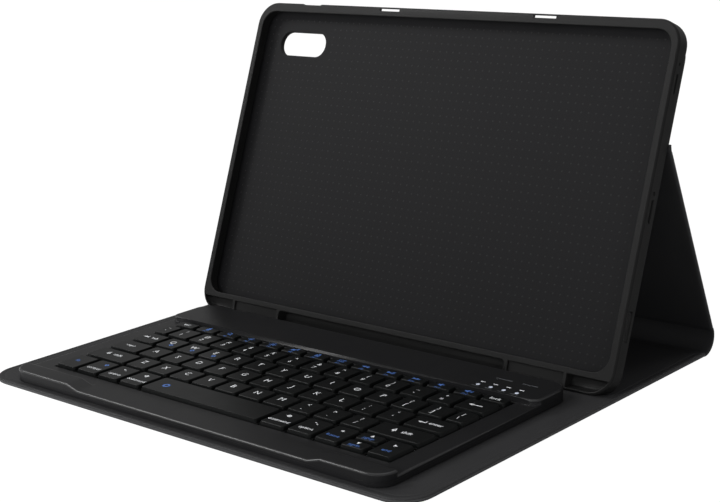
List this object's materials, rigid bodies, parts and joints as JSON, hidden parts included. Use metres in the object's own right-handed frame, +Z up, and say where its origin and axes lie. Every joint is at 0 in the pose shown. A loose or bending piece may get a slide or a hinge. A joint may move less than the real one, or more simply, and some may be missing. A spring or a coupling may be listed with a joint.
{
  "type": "tablet keyboard case",
  "caption": "Black folding tablet case with a leather-like cover, propped tray with pen channel, and a slim removable keyboard, standing open like a laptop",
  "frame": {"origin": "under the middle of the whole case as it stands open, on the table", "axes": "+X to the typist's right, +Y to the rear towards the spine, +Z up"},
  "size_m": [0.26, 0.23, 0.161],
  "materials": {
    "cover_leather": "fine grain, soft sheen",
    "lining": "fine grain, matte",
    "stiff_board": "raw board",
    "tray_plastic": "satin moulded",
    "keyboard_plastic": "fine moulded texture",
    "key_plastic": "smooth satin",
    "pad_rubber": "matte",
    "steel": "nickel plated",
    "plate_aluminium": "rolled",
    "clear_film": "printed film",
    "circuit_board": "solder mask",
    "cell_foil": "foil pouch",
    "light_guide": "clear"
  },
  "bodies": {
    "base": {"base_outer_cover": "cover_leather", "base_stiffener_board": "stiff_board", "base_inner_lining": "lining", "base_keyboard_magnets": "steel", "base_foot_catch_plates": "steel", "spine_bend": "cover_leather"},
    "kickstand": {"kickstand_outer_cover": "cover_leather", "kickstand_stiffener_board": "stiff_board", "kickstand_inner_lining": "lining", "kickstand_magnets": "steel"},
    "tray": {"tray_shell": "tray_plastic", "tray_foot_magnets": "steel", "upper_back_cover": "cover_leather", "upper_back_board": "stiff_board", "fold_crease": "cover_leather"},
    "keyboard": {"keyboard_bottom_cover": "keyboard_plastic", "keyboard_top_case": "keyboard_plastic", "case_screws": "steel", "keyboard_pads": "pad_rubber", "keyboard_magnets": "steel", "key_support_plate": "plate_aluminium", "switch_membrane": "clear_film", "rubber_domes": "pad_rubber", "control_board": "circuit_board", "battery_cell": "cell_foil", "charging_socket": "steel", "power_switch_body": "keyboard_plastic", "status_lights": "light_guide"},
    "modifier_row": {"modifier_keys": "key_plastic"},
    "space_key": {"space_bar": "key_plastic"},
    "arrow_cluster": {"arrow_keys": "key_plastic"},
    "lower_row": {"lower_letter_keys": "key_plastic"},
    "home_row": {"home_letter_keys": "key_plastic"},
    "upper_row": {"upper_letter_keys": "key_plastic"},
    "number_row": {"number_keys": "key_plastic"},
    "function_row": {"function_keys": "key_plastic"},
    "power_knob": {"power_switch_knob": "keyboard_plastic"}
  },
  "joints": [
    {"name": "stand_hinge", "type": "hinge", "parent": "base", "child": "kickstand", "pos_m": [0, 0.1065, 0.0085], "axis": [-1, 0, 0], "range_deg": [0, 114.04], "deforming": ["spine_bend"]},
    {"name": "fold_hinge", "type": "hinge", "parent": "kickstand", "child": "tray", "pos_m": [0, 0.07155, 0.10499], "axis": [1, 0, 0], "range_deg": [0, 44.74]},
    {"name": "keyboard_lift", "type": "slide", "parent": "base", "child": "keyboard", "axis": [0, 0, 1], "range_m": [0, 0.06]},
    {"name": "modifier_row_press", "type": "slide", "parent": "keyboard", "child": "modifier_row", "axis": [0, 0, -1], "range_m": [0, 0.0011], "stiffness_N_per_m": 400, "springref_m": -0.0005, "deforming": ["rubber_domes"]},
    {"name": "space_key_press", "type": "slide", "parent": "keyboard", "child": "space_key", "axis": [0, 0, -1], "range_m": [0, 0.0011], "stiffness_N_per_m": 400, "springref_m": -0.0005, "deforming": ["rubber_domes"]},
    {"name": "arrow_cluster_press", "type": "slide", "parent": "keyboard", "child": "arrow_cluster", "axis": [0, 0, -1], "range_m": [0, 0.0011], "stiffness_N_per_m": 400, "springref_m": -0.0005, "deforming": ["rubber_domes"]},
    {"name": "lower_row_press", "type": "slide", "parent": "keyboard", "child": "lower_row", "axis": [0, 0, -1], "range_m": [0, 0.0011], "stiffness_N_per_m": 400, "springref_m": -0.0005, "deforming": ["rubber_domes"]},
    {"name": "home_row_press", "type": "slide", "parent": "keyboard", "child": "home_row", "axis": [0, 0, -1], "range_m": [0, 0.0011], "stiffness_N_per_m": 400, "springref_m": -0.0005, "deforming": ["rubber_domes"]},
    {"name": "upper_row_press", "type": "slide", "parent": "keyboard", "child": "upper_row", "axis": [0, 0, -1], "range_m": [0, 0.0011], "stiffness_N_per_m": 400, "springref_m": -0.0005, "deforming": ["rubber_domes"]},
    {"name": "number_row_press", "type": "slide", "parent": "keyboard", "child": "number_row", "axis": [0, 0, -1], "range_m": [0, 0.0011], "stiffness_N_per_m": 400, "springref_m": -0.0005, "deforming": ["rubber_domes"]},
    {"name": "function_row_press", "type": "slide", "parent": "keyboard", "child": "function_row", "axis": [0, 0, -1], "range_m": [0, 0.0011], "stiffness_N_per_m": 400, "springref_m": -0.0005, "deforming": ["rubber_domes"]},
    {"name": "power_slide", "type": "slide", "parent": "keyboard", "child": "power_knob", "axis": [1, 0, 0], "range_m": [0, 0.002]}
  ],
  "couplings": [
    {"joint": "fold_hinge", "follows": "stand_hinge", "ratio": 0.39234}
  ]
}
